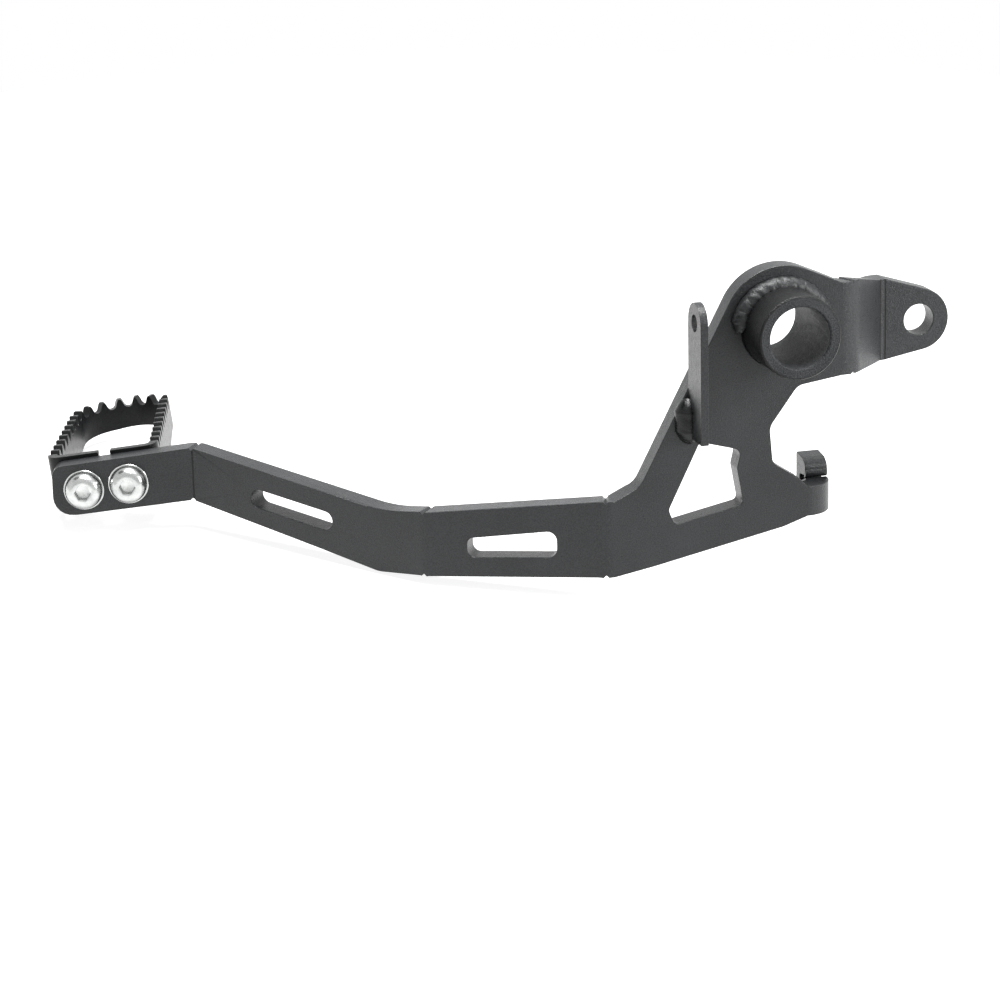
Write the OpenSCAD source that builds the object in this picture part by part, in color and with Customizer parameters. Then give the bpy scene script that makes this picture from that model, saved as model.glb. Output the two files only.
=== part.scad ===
// Rear brake pedal for a motorcycle: a folded steel plate lever with a welded pivot tube,
// a welded switch tab, a folded spring hook and a bolted, toothed toe cleat.
// The pivot axis is Y, the pedal reaches forward along -X, and +Z is up.

/* [Plate] */
// Thickness of the lever plate
plate_t = 6; // [5:0.5:7]
// Inside radius of every fold in the plate
bend_r = 2; // [1.5:0.25:2.5]

/* [Folds] */
// From the pivot to the heel fold
heel_len = 45.8; // [43:0.2:52]
// From the heel fold to the arm fold
rear_arm_len = 47; // [42:0.5:56]
// From the arm fold to the toe fold
front_arm_len = 72; // [66:0.5:84]
// From the toe fold to the tip
toe_len = 38; // [36:0.5:44]
// Angle of the heel fold, outboard
heel_fold = 30; // [20:1:35]
// Angle of the arm fold, further outboard
arm_fold = 15; // [10:1:20]
// Angle of the toe fold, back towards the frame
toe_fold = 30; // [20:1:35]
// From the pivot to the first joggle fold
joggle_start = 18; // [17.5:0.5:20]
// Between the two joggle folds
joggle_len = 16; // [13:0.5:20]
// Angle of the joggle
joggle_fold = 45; // [35:1:50]
// From the second joggle fold to the pushrod hole
lug_len = 11.4; // [10.5:0.1:15]
// From the pivot to the fold of the spring hook
tail_start = 7; // [6.5:0.1:8]

// Side of the square V that marks each fold
mark_w = 1; // [0.6:0.1:1.2]

/* [Arm depths] */
// Depth of the arm at the heel fold
heel_h = 20; // [18:0.1:22]
// Drop of the arm's centre line at the heel fold
heel_drop = 51.7; // [50:0.1:53]
// Depth at the arm fold
arm_h = 17.1; // [15:0.1:19]
// Drop of the centre line at the arm fold
arm_drop = 55.5; // [54:0.1:57]
// Depth at the lowest point of the top edge
dip_h = 16.6; // [14:0.1:19]
// Drop of the centre line at the lowest point
dip_drop = 56.4; // [55:0.1:58]
// Lowest point ahead of the arm fold
dip_ahead = 11; // [8:0.1:14]
// Depth at the toe fold
toe_h = 14.3; // [13.6:0.1:17]
// Drop of the centre line at the toe fold
toe_drop = 45.7; // [44:0.1:48]
// Depth at the tip
tip_h = 13.8; // [13:0.1:16]
// Drop of the centre line at the tip
tip_drop = 50.1; // [48:0.1:52]

/* [Boss and lug] */
// Radius of the plate round the pivot tube
boss_r = 15.6; // [14.4:0.1:16.4]
// Height of the web between boss and lug, above the pivot
web_rise = 10; // [9:0.1:11]
// Depth of the web between boss and lug, below the pivot
web_sink = 14.1; // [13:0.1:15]
// Radius of the pushrod lug
lug_r = 8.1; // [7:0.1:9]
// Hole for the pushrod's clevis pin
lug_bore = 8; // [6:0.1:9]
// Drop of the pushrod hole below the pivot
lug_drop = 4.1; // [3:0.1:5]
// Height of the web above the pivot at the second joggle fold
lug_rise = 7.3; // [6:0.1:8]

/* [Lightening holes] */
// Width of the front slot
front_slot_w = 4.9; // [4:0.1:6]
// Distance between the front slot's end centres
front_slot_len = 20.6; // [16:0.1:26]
// Rear end of the front slot, ahead of the arm fold
front_slot_ahead = 29.8; // [26:0.1:34]
// Width of the rear slot at its rear end
rear_slot_w = 6.9; // [6:0.1:8]
// Width of the rear slot at its front end
rear_slot_tip_w = 4.9; // [4.5:0.1:6]
// Length of the rear slot
rear_slot_len = 23.6; // [18:0.1:26]
// Rear end of the rear slot, ahead of the heel fold
rear_slot_ahead = 12.2; // [10:0.1:15]
// Height of the window behind the heel
window_h = 17.5; // [14:0.1:18.5]
// Width of the window along its foot
window_w = 18; // [14:0.1:19]
// Foremost corner of the window's foot, ahead of the pivot
window_ahead = 28.6; // [27:0.1:30]

/* [Spring hook] */
// Drop of the notch above the hook's fold
notch_drop = 42.6; // [42:0.1:43.2]
// Length of the folded tail behind its fold
tail_len = 7; // [6.6:0.1:9]
// Depth of the tail under the spring's gap
tail_h = 4.6; // [4:0.1:5.4]
// Gap for the end of the spring
hook_gap = 2; // [1.6:0.1:2.4]
// Reach of the gap into the tail
hook_reach = 4.2; // [3.4:0.1:4.6]
// Depth of the finger over the gap
finger_h = 4.4; // [3.6:0.1:5]

/* [Pivot tube] */
// Outer diameter of the tube
tube_od = 21.4; // [20:0.1:22.4]
// Bore of the tube
tube_bore = 15.6; // [14:0.1:17]
// Length on the inboard side of the plate
tube_in = 14; // [10:0.5:20]
// Length on the outboard side of the plate
tube_out = 7; // [5:0.5:12]
// Chamfer at the rims of the tube
tube_chamfer = 0.4; // [0.2:0.1:0.8]
// Leg of the weld round the tube
weld_leg = 2.8; // [2:0.1:3.4]
// Angle where the weld starts, above the rear
weld_from = 18; // [10:1:30]
// Angle where the weld ends
weld_to = 172; // [150:1:185]

/* [Switch tab] */
// Thickness of the tab
tab_t = 2; // [1.5:0.1:3]
// Width of the tab, away from the plate
tab_w = 10.4; // [9:0.1:12]
// Rear face of the tab ahead of the pivot
tab_ahead = 22.8; // [21.5:0.1:24]
// Height of the tab's hole above the pivot
tab_hole_z = 3.9; // [2:0.1:8]
// Hole for the switch spring
tab_hole = 4.4; // [3:0.1:5]
// Foot of the tab below the pivot
tab_foot = 26.4; // [24:0.1:27.4]
// Leg of the weld beside the tab
tab_weld_leg = 2.7; // [2:0.1:3]
// Length of the weld beside the tab
tab_weld_len = 9.6; // [7:0.1:10]

/* [Toe cleat] */
// Thickness of the cleat's strip
cleat_t = 2.5; // [2:0.1:2.8]
// Width of the cleat at the bar
cleat_w = 30.1; // [29.4:0.1:32]
// Offset of the cleat towards the tip, past the middle of its screws
cleat_shift = 0.6; // [0:0.1:0.8]
// Reach of the cleat outboard of the bar
cleat_depth = 60; // [46:0.5:64]
// Lean of the front wall towards the middle
front_lean = 1.1; // [0:0.1:4]
// Lean of the rear wall towards the middle
rear_lean = 2.1; // [0:0.1:4.6]
// Bow of the outer wall
cleat_bow = 5.5; // [3:0.1:7]
// Outside radius of the folds at the bar
cleat_root_r = 3.6; // [3:0.1:4.4]
// Outside radius of the large front corner
cleat_nose_r = 12; // [8:0.5:13]
// Outside radius of the rear corner
cleat_heel_r = 4; // [3.2:0.1:5]
// Outside radius of the bow in the outer wall
cleat_crown_r = 12; // [8:0.5:13]
// Depth of the strip at the bar, teeth included
cleat_root_h = 13.2; // [12:0.1:14]
// Depth of the strip at the outer wall, teeth included
cleat_outer_h = 8; // [7.4:0.1:10]
// Rise of the teeth over the bar's top edge
cleat_rise = 1; // [0.5:0.1:2]
// Number of notches between the teeth
notch_n = 25; // [18:1:27]
// Depth of the notches
notch_h = 2.5; // [2:0.1:3]
// Flat left on the tip of each tooth
tooth_flat = 1.5; // [1:0.1:1.8]
// Gap between the two ears on the bar
ear_gap = 3.2; // [2:0.1:3.6]

/* [Cleat screws] */
// Shank diameter of the screws
screw_d = 6; // [5:0.1:6]
// Head diameter
head_d = 10.8; // [9.5:0.1:11]
// Head height
head_h = 3.3; // [2.8:0.1:3.5]
// Straight rim of the head
head_rim = 0.5; // [0.3:0.1:0.8]
// Socket size across flats
socket_af = 4; // [3:0.1:4.4]
// Depth of the socket
socket_depth = 2; // [1.4:0.1:2.2]
// Distance between the two screws
screw_pitch = 12; // [11.7:0.1:13]
// Front screw behind the tip of the bar
screw_inset = 8.4; // [7.6:0.1:9.4]
// Nut size across flats
nut_af = 10; // [9:0.1:10.2]
// Nut thickness
nut_h = 5; // [4:0.1:5.4]
// Shank past the nut
screw_proud = 1.6; // [0.6:0.1:3]
// Clearance round the shank in the plate and the ears
screw_clear = 0.2; // [0.1:0.05:0.3]

/* [Hidden] */

steel_black = "#3b3d40";
steel_bright = "#c9ccd0";
far = 300;
past = 1;
fine = 96;
arc_n = 6;
facet = 5;
eps = 0.05;
lap = 5;
neutral_r = bend_r + plate_t / 2;

function unit(v) = v / norm(v);
function angle_of(v) = atan2(v[1], v[0]);
function wrap(a) = a > 180 ? a - 360 : a < -180 ? a + 360 : a;
function polar(r, a) = r * [cos(a), sin(a)];
function arc(c, r, a0, a1, n = arc_n) = [for (k = [0:n]) c + polar(r, a0 + (a1 - a0) * k / n)];

// Rounds one corner b = [x, y, radius] of an outline between its neighbours a and c
function corner(a, b, c) =
    let (p = [b[0], b[1]], u = unit([a[0], a[1]] - p), v = unit([c[0], c[1]] - p))
    let (half = acos(u * v) / 2, mid = p + unit(u + v) * b[2] / sin(half))
    let (a0 = angle_of(p + u * b[2] / tan(half) - mid), a1 = angle_of(p + v * b[2] / tan(half) - mid))
    b[2] == 0 ? [p] : arc(mid, b[2], a0, a0 + wrap(a1 - a0));
function rounded(p) = [for (i = [0:len(p) - 1])
    each corner(p[(i + len(p) - 1) % len(p)], p[i], p[(i + 1) % len(p)])];

// Moves every side of a convex outline inwards by t and shrinks its radii to match
function inset(p, t) = [for (i = [0:len(p) - 1])
    let (a = p[(i + len(p) - 1) % len(p)], b = p[i], c = p[(i + 1) % len(p)])
    let (u = unit([a[0] - b[0], a[1] - b[1]]), v = unit([c[0] - b[0], c[1] - b[1]]))
    let (shift = unit(u + v) * t / sin(acos(u * v) / 2))
    [b[0] + shift[0], b[1] + shift[1], b[2] - t]];

// Angle at which the tangent from p meets a circle at c, on the side given by 1 or -1
function touch(p, c, r, side) = wrap(angle_of(p - c) + side * acos(r / norm(p - c)));

// Developed length of a fold along the plate's neutral line
function fold_len(a) = neutral_r * abs(a) * PI / 180;

// Edges of the plate at each fold, as [distance, angle, bottom, top]
heel = [heel_len, heel_fold, -heel_drop - heel_h / 2, -heel_drop + heel_h / 2];
arm = [heel_len + rear_arm_len, arm_fold, -arm_drop - arm_h / 2, -arm_drop + arm_h / 2];
toe = [arm[0] + front_arm_len, -toe_fold, -toe_drop - toe_h / 2, -toe_drop + toe_h / 2];
jog_in = [joggle_start, joggle_fold, -web_sink, web_rise];
jog_out = [joggle_start + joggle_len, -joggle_fold, -web_sink, lug_rise];
tip_s = toe[0] + toe_len;
dip_s = arm[0] + dip_ahead;
lug_s = jog_out[0] + lug_len;
hook_s = tail_start + fold_len(90);
tail_end = hook_s + tail_len;
tail_low = notch_drop + 1.8 + tail_h + 1.4;
plate_low = -dip_drop - dip_h;
plate_high = boss_r + past;
split = 29;

function before(f) = f[0] - fold_len(f[1]) / 2;
function after(f) = f[0] + fold_len(f[1]) / 2;

// Distance from the plate's inboard face to the centre of a fold
function side_of(a) = a > 0 ? plate_t + bend_r : -bend_r;

// Plan of the plate along a row of folds, as pairs of inboard and outboard points
function plan_fold(p, h, a) =
    let (n = ceil(abs(a) / facet), side = side_of(a), c = p + polar(side, h + 90), a0 = h + (a > 0 ? -90 : 90))
    [for (k = [0:n]) [c + polar(abs(side), a0 + a * k / n), c + polar(abs(side - plate_t), a0 + a * k / n)]];
function plan_run(folds, end, s, p = [0, 0], h = 0, i = 0) =
    let (last = i == len(folds), q = p + polar((last ? end : before(folds[i])) - s, h))
    last ? [[q, q + polar(plate_t, h + 90)]] :
    let (bend = plan_fold(q, h, folds[i][1]))
    concat(bend, plan_run(folds, end, after(folds[i]), bend[len(bend) - 1][0], h + folds[i][1], i + 1));
module plate_run(folds, end, bottom, top) {
    pairs = concat([[[-lap, 0], [-lap, plate_t]]], plan_run(folds, end, 0));
    translate([0, 0, bottom])
        linear_extrude(top - bottom)
            polygon(concat([for (e = pairs) e[0]], [for (i = [len(pairs) - 1:-1:0]) pairs[i][1]]));
}

// Carries the children round a fold, so that they keep their distance from the pivot
module past_fold(f) {
    side = side_of(f[1]);
    translate([before(f), side, 0])
        rotate([0, 0, f[1]])
            translate([-after(f), -side, 0])
                children();
}

// Forward of the pivot, distances count towards the toe
module forward() { mirror([1, 0, 0]) children(); }
module on_arm() { forward() past_fold(heel) children(); }
module on_front_arm() { on_arm() past_fold(arm) children(); }
module on_toe() { on_front_arm() past_fold(toe) children(); }
module on_lug() { past_fold(jog_in) past_fold(jog_out) children(); }

// Middle line of a fold in plan, seen from the stretch in front of it (1) or behind it (-1)
function mitre(f, way) =
    let (a = f[1], c = [way > 0 ? before(f) : after(f), side_of(a)], h = (a > 0 ? -90 : 90) + way * a / 2)
    let (inner = c + polar(bend_r / 2, h), outer = c + polar(bend_r + plate_t + 1.5 * past, h))
    let (pair = a > 0 ? [outer, inner] : [inner, outer])
    [pair[0] + [way * eps, 0], pair[1] + [way * eps, 0]];
function square_end(s) = [[s, -past], [s, plate_t + past]];

// Cuts one stretch of the folded plate to the outline given as a child
module trim(left, right, bottom = plate_low - past, top = plate_high + past) {
    difference() {
        translate([0, 0, bottom])
            linear_extrude(top - bottom)
                polygon([left[0], right[0], right[1], left[1]]);
        children();
    }
}
module slab() {
    translate([0, plate_t + 2 * past, 0])
        rotate([90, 0, 0])
            linear_extrude(plate_t + 4 * past)
                children();
}

module cross_hole(d, from = -past, length = plate_t + 2 * past) {
    translate([0, from, 0])
        rotate([-90, 0, 0])
            cylinder(h = length, d = d, $fn = fine);
}

// Window with one kinked side, standing on the lower edge of the heel
module window_cut() {
    foot = -heel_drop + 2.4;
    front = -window_ahead;
    polygon(rounded([
        [front + 0.38 * window_w, foot + window_h + 3.5, 1.2],
        [front + window_w - 0.3, foot + window_h + 0.5, 1.8],
        [front + window_w - 1.4, foot + window_h - 4.2, 2],
        [front + window_w + 0.3, foot + 3.8, 1.3],
        [front, foot, 1.4],
        [front - 1.5, foot + 4, 2]
    ]));
}

module main_outline() {
    knee = [-heel_len + 8.2, heel[3] + 3.3];
    rear = [before(jog_in), web_rise];
    front_touch = touch(knee, [0, 0], boss_r, -1);
    rear_touch = touch(rear, [0, 0], boss_r, 1);
    throat = [4.3, -web_sink - 1.7];
    waist = [-3.2, -26];
    sill = [-2.4, -notch_drop + 7.2];
    front = -before(heel);
    tail = tail_start + lap;
    difference() {
        polygon(concat(
            [[front - lap, heel[3]]],
            [[front, heel[3]]],
            corner([front, heel[3]], [knee[0], knee[1], 6], polar(boss_r, front_touch)),
            arc([0, 0], boss_r, front_touch, rear_touch, 5 * arc_n),
            [rear, rear + [lap, 0], [rear[0] + lap, -web_sink], [rear[0], -web_sink]],
            corner([rear[0], -web_sink], [throat[0], throat[1], 3.5], waist),
            corner(throat, [waist[0], waist[1], 4], sill),
            corner(waist, [sill[0], sill[1], 2.5], [tail_start - 2, -notch_drop + 2.2]),
            corner(sill, [tail_start - 2, -notch_drop + 2.2, 3], [tail_start, -notch_drop]),
            [[tail_start, -notch_drop], [tail, -notch_drop], [tail, -tail_low], [tail_start, -tail_low],
             [0.07 * tail_start, -tail_low - 2.2], [-34, heel[2] + 1.9], [front, heel[2]], [front - lap, heel[2]]]
        ));
        window_cut();
    }
}

// Outline that runs straight from one fold to the next and stays level across both
module straight_outline(a, b) {
    polygon([[after(a) - lap, a[2]], [after(a) - lap, a[3]], [after(a), a[3]], [before(b), b[3]],
             [before(b) + lap, b[3]], [before(b) + lap, b[2]], [before(b), b[2]], [after(a), a[2]]]);
}

module rear_slot_cut() {
    rear = heel_len + rear_slot_ahead;
    top = -heel_drop + 1.7;
    fall = 3.3;
    polygon(rounded([
        [rear, top, 2.3],
        [rear, top - rear_slot_w, 2.3],
        [rear + rear_slot_len, top - fall - rear_slot_tip_w, 2],
        [rear + rear_slot_len, top - fall, 1.8]
    ]));
}

module front_slot_cut() {
    rise = atan((toe[3] - arm[3]) / front_arm_len) + 2.4;
    translate([arm[0] + front_slot_ahead, -dip_drop + 3.3])
        rotate(rise)
            polygon(concat(
                arc([0, 0], front_slot_w / 2, -90, -270, 2 * arc_n),
                arc([front_slot_len, 0], front_slot_w / 2, 90, -90, 2 * arc_n)
            ));
}

module front_arm_outline() {
    root = after(arm);
    end = before(toe);
    top = corner([root, arm[3]], [dip_s, -dip_drop + dip_h / 2, 40], [end, toe[3]]);
    foot = corner([end, toe[2]], [dip_s + 2.5, -dip_drop - dip_h / 2, 10], [root, arm[2]]);
    difference() {
        polygon(concat([[root - lap, arm[2]], [root - lap, arm[3]], [root, arm[3]]], top,
                       [[end, toe[3]], [end + lap, toe[3]], [end + lap, toe[2]], [end, toe[2]]],
                       foot, [[root, arm[2]]]));
        front_slot_cut();
    }
}

module toe_outline() {
    root = after(toe);
    top = corner([root, toe[3]], [tip_s, -tip_drop + tip_h / 2, 3], [tip_s, -tip_drop]);
    foot = corner([tip_s, -tip_drop], [tip_s, -tip_drop - tip_h / 2, 5], [root, toe[2]]);
    polygon(concat([[root, toe[2]], [root - lap, toe[2]], [root - lap, toe[3]], [root, toe[3]]], top, foot));
}

module lug_outline() {
    mid = [lug_s, -lug_drop];
    root = after(jog_out);
    upper = touch([root, lug_rise], mid, lug_r, -1);
    lower = touch([root, -web_sink], mid, lug_r, 1);
    polygon(concat([[root, -web_sink], [root - lap, -web_sink], [root - lap, lug_rise], [root, lug_rise]],
                   arc(mid, lug_r, upper, lower, 4 * arc_n)));
}

// Folded tail with the curled finger that keeps the spring in its gap
module hook_outline() {
    floor_z = -notch_drop - 1.8;
    roof = floor_z + hook_gap;
    slot_end = hook_s + hook_reach;
    crown_z = roof + finger_h;
    polygon(rounded([
        [hook_s - lap, -tail_low, 0],
        [hook_s - lap, -notch_drop, 0],
        [hook_s, -notch_drop, 0],
        [slot_end, floor_z, 0.7],
        [slot_end, roof, 0.7],
        [hook_s + 1.2, roof + 0.2, 0.8],
        [hook_s - 1.2, roof + 0.55 * finger_h, 1.8],
        [hook_s + 1.8, crown_z + 0.3, 2.4],
        [tail_end, crown_z + 0.9, 0.6],
        [tail_end, floor_z - tail_h + 2.6, 1],
        [hook_s + 0.4, floor_z - tail_h + 0.4, 0],
        [hook_s + 0.4, -tail_low, 0]
    ]));
}

// The tail folds in two equal presses
function tail_press(i) = [tail_start + (i - 0.5) * fold_len(45), 45];
module tail_trims() {
    past_fold(tail_press(1)) {
        trim(mitre(tail_press(1), -1), mitre(tail_press(2), 1), top = -split)
            slab()
                translate([tail_start - lap, -tail_low])
                    square([4 * lap, tail_low - notch_drop]);
        past_fold(tail_press(2))
            trim(mitre(tail_press(2), -1), square_end(tail_end + past))
                slab() hook_outline();
    }
}

// Screw seats, in distance from the pivot and height, and the pitch of the bar they sit on
toe_pitch = atan((toe[3] + tip_drop - tip_h / 2) / toe_len);
seat = [tip_s - screw_inset, -tip_drop + screw_inset * (tip_drop - toe_drop) / toe_len - 0.2];
edge_over_seat = (-tip_drop + tip_h / 2 + screw_inset * tan(toe_pitch) - seat[1]) * cos(toe_pitch);

// Carries the children to a screw on the bar's inboard face, with x towards the tip
module on_seat(i) {
    on_toe()
        translate([seat[0], 0, seat[1]])
            rotate([0, toe_pitch, 0])
                translate([-i * screw_pitch, 0, 0])
                    children();
}

// Small V at both ends of a fold, where the blank is marked for the press
module fold_marks(f) {
    for (z = [f[2], f[3]])
        translate([before(f), side_of(f[1]), z])
            rotate([0, 0, f[1] / 2 + 1])
                rotate([0, 45, 0])
                    cube([mark_w, 4 * plate_t, mark_w], center = true);
}

module plate_blank() {
    forward()
        plate_run([heel, arm, toe], tip_s, plate_low, plate_high);
    plate_run([jog_in, jog_out], lug_s + lug_r, -split, plate_high);
    plate_run([[tail_start + fold_len(90) / 2, 90]], tail_end, plate_low, -notch_drop + finger_h + 2);
}

module plate_trims() {
    forward()
        trim(square_end(-eps), mitre(heel, 1))
            forward() slab() main_outline();
    trim(square_end(-eps), mitre(jog_in, 1), bottom = -split - eps)
        slab() main_outline();
    trim(square_end(-eps), mitre(tail_press(1), 1), top = -split)
        slab() main_outline();
    on_arm()
        trim(mitre(heel, -1), mitre(arm, 1))
            slab() difference() {
                straight_outline(heel, arm);
                rear_slot_cut();
            }
    on_front_arm()
        trim(mitre(arm, -1), mitre(toe, 1))
            slab() front_arm_outline();
    on_toe()
        trim(mitre(toe, -1), square_end(tip_s + past))
            slab() toe_outline();
    past_fold(jog_in)
        trim(mitre(jog_in, -1), mitre(jog_out, 1))
            slab() straight_outline(jog_in, jog_out);
    on_lug()
        trim(mitre(jog_out, -1), square_end(lug_s + lug_r + past))
            slab() lug_outline();
    tail_trims();
    fold_marks(jog_in);
    forward() {
        fold_marks(heel);
        past_fold(heel) {
            fold_marks(arm);
            past_fold(arm) fold_marks(toe);
        }
    }
}

module lever_plate() {
    color(steel_black)
        difference() {
            plate_blank();
            plate_trims();
            cross_hole(tube_od);
            on_lug()
                translate([lug_s, 0, -lug_drop])
                    cross_hole(lug_bore);
            for (i = [0, 1])
                on_seat(i)
                    cross_hole(screw_d + 2 * screw_clear);
        }
}

module pivot_tube() {
    ro = tube_od / 2;
    ri = tube_bore / 2;
    c = tube_chamfer;
    y0 = -tube_in;
    y1 = plate_t + tube_out;
    color(steel_black)
        rotate([-90, 0, 0])
            rotate_extrude($fn = fine)
                polygon([[ri + c, y0], [ro - c, y0], [ro, y0 + c], [ro, y1 - c], [ro - c, y1],
                         [ri + c, y1], [ri, y1 - c], [ri, y0 + c]]);
}

// Fillet bead round the tube, its foot on the plate at y = 0 and its body towards -y
module tube_bead() {
    ro = tube_od / 2;
    rotate([90, 0, 0])
        rotate([0, 0, weld_from])
            rotate_extrude(angle = weld_to - weld_from, $fn = fine)
                polygon(concat([[ro, 0]], arc([ro, 0], weld_leg, 0, 90)));
}
module pivot_weld_inboard() {
    color(steel_black)
        tube_bead();
}
module pivot_weld_outboard() {
    color(steel_black)
        translate([0, plate_t, 0])
            mirror([0, 1, 0])
                tube_bead();
}

module switch_tab() {
    r = tab_w / 2;
    color(steel_black)
        translate([-tab_ahead - tab_t, 0, 0])
            rotate([90, 0, 90])
                linear_extrude(tab_t)
                    difference() {
                        polygon(concat([[0, -tab_foot], [-tab_w, -tab_foot]],
                                       arc([-r, tab_hole_z], r, 180, 0, 3 * arc_n)));
                        translate([-r, tab_hole_z])
                            circle(d = tab_hole, $fn = fine);
                    }
}

module tab_weld() {
    r = tab_weld_leg;
    top = tab_weld_len;
    foot_r = 1.2;
    color(steel_black)
        translate([-tab_ahead - tab_t, 0, -tab_foot - tab_weld_leg / 4])
            rotate([0, 0, 180])
                rotate_extrude(angle = 90, $fn = fine)
                    polygon(concat([[0, top], [0, 0]], arc([r - foot_r, foot_r], foot_r, -90, 0),
                                   arc([0, top - r], r, 0, 80)));
}

// Outer line of the cleat in plan, x rearwards along the bar and y outboard, with its radii
cleat_front = -cleat_w / 2 - cleat_shift;
cleat_rear = cleat_w / 2 - cleat_shift;
cleat_line = [
    [cleat_front, 0, cleat_root_r],
    [cleat_rear, 0, cleat_root_r],
    [cleat_rear - rear_lean, cleat_depth - cleat_bow, cleat_heel_r],
    [cleat_w / 10, cleat_depth, cleat_crown_r],
    [cleat_front + front_lean, cleat_depth - cleat_bow, cleat_nose_r]
];
cleat_loop = rounded(cleat_line);
cleat_top = edge_over_seat + cleat_rise;

// The toothed walls are the loop without the stretch on the bar
wall_path = [for (i = [2 * arc_n + 1:len(cleat_loop) - 1]) cleat_loop[i], cleat_loop[0]];
function run(p, i) = norm(p[i + 1] - p[i]);
function total(p, i = 0) = i + 1 < len(p) ? run(p, i) + total(p, i + 1) : 0;
function place(p, d, i = 0) = d <= run(p, i) || i + 2 == len(p)
    ? concat(p[i] + unit(p[i + 1] - p[i]) * d, [angle_of(p[i + 1] - p[i])])
    : place(p, d - run(p, i), i + 1);

module notch_cut(pitch) {
    w = (pitch - tooth_flat) / 2;
    valley_r = 1.2;
    translate([0, cleat_t + past, 0])
        rotate([90, 0, 0])
            linear_extrude(cleat_t + 2 * past)
                polygon(concat([[w + 0.5, 0.6], [-w - 0.5, 0.6], [-w, -0.2], [-w + 0.3, -0.7]],
                               arc([0, valley_r - notch_h], valley_r, 212, 328, 4),
                               [[w - 0.3, -0.7], [w, -0.2]]));
}

module cleat_strip() {
    translate([0, 0, cleat_top - cleat_root_h])
        linear_extrude(cleat_root_h)
            difference() {
                polygon(cleat_loop);
                polygon(rounded(inset(cleat_line, cleat_t)));
                translate([-ear_gap / 2, -past])
                    square([ear_gap, cleat_t + 2 * past]);
            }
}

// Waste under the strip, which gets shallower away from the bar
module cleat_underside() {
    root = 2 * cleat_t;
    low = cleat_top - cleat_root_h;
    high = cleat_top - cleat_outer_h;
    translate([-cleat_w, 0, 0])
        rotate([90, 0, 90])
            linear_extrude(2 * cleat_w)
                polygon([[root, low], [cleat_depth, high], [2 * cleat_depth, high],
                         [2 * cleat_depth, 2 * low], [root, 2 * low]]);
}

module toe_cleat() {
    pitch = total(wall_path) / notch_n;
    color(steel_black)
        on_seat(0.5)
            translate([0, plate_t, 0])
                mirror([1, 0, 0])
                    difference() {
                        cleat_strip();
                        cleat_underside();
                        for (k = [0:notch_n - 1])
                            let (at = place(wall_path, (k + 0.5) * pitch))
                                translate([at[0], at[1], cleat_top])
                                    rotate([0, 0, at[2]])
                                        notch_cut(pitch);
                        for (i = [-1, 1])
                            translate([i * screw_pitch / 2, 0, 0])
                                cross_hole(screw_d + 2 * screw_clear, -past, cleat_t + 2 * past);
                    }
}

module screw() {
    rim = head_d / 2;
    crown = 0.8 * socket_af;
    r = screw_d / 2;
    shank = plate_t + cleat_t + nut_h + screw_proud;
    chamfer = 0.2 * r;
    color(steel_bright)
        difference() {
            rotate([-90, 0, 0])
                rotate_extrude($fn = fine)
                    polygon([[0, -head_h], [crown, -head_h],
                             for (k = [1:arc_n])
                                 [crown + (rim - crown) * sin(90 * k / arc_n),
                                  -head_rim - (head_h - head_rim) * cos(90 * k / arc_n)],
                             [rim, 0], [r, 0], [r, shank - chamfer], [r - chamfer, shank], [0, shank]]);
            translate([0, -head_h - past, 0])
                rotate([-90, 0, 0])
                    cylinder(h = socket_depth + past, d = socket_af / cos(30), $fn = 6);
        }
}

module nut() {
    color(steel_bright)
        translate([0, plate_t + cleat_t, 0])
            rotate([-90, 30, 0])
                difference() {
                    cylinder(h = nut_h, d = nut_af / cos(30), $fn = 6);
                    translate([0, 0, -past])
                        cylinder(h = nut_h + 2 * past, d = screw_d, $fn = fine);
                }
}

module cleat_screw_front() { on_seat(0) screw(); }
module cleat_screw_rear() { on_seat(1) screw(); }
module cleat_nut_front() { on_seat(0) nut(); }
module cleat_nut_rear() { on_seat(1) nut(); }

lever_plate();
pivot_tube();
pivot_weld_inboard();
pivot_weld_outboard();
switch_tab();
tab_weld();
toe_cleat();
cleat_screw_front();
cleat_screw_rear();
cleat_nut_front();
cleat_nut_rear();
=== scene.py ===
import math

import bmesh
import bpy
from mathutils import Matrix, Vector


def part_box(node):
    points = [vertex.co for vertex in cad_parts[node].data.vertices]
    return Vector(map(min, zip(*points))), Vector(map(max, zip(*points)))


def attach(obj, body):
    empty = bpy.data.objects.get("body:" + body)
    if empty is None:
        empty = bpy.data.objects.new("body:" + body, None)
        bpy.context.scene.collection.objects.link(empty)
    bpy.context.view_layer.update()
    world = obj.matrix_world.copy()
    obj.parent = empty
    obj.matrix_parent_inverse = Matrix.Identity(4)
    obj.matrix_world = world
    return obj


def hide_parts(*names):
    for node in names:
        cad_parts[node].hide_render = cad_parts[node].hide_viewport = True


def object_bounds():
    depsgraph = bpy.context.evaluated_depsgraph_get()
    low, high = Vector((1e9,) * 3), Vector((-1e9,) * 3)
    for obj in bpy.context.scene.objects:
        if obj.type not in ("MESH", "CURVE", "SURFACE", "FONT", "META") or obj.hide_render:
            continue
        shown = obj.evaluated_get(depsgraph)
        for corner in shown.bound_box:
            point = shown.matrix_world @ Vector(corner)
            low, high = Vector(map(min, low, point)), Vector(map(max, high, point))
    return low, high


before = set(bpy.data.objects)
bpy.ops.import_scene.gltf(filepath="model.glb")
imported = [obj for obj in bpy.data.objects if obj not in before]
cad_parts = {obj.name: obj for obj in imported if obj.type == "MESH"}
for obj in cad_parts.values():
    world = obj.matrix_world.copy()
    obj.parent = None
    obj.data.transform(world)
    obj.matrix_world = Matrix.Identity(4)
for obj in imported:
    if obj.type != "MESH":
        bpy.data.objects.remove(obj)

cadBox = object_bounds()
millimetre = 0.001
print("stage: frame loaded")


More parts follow.
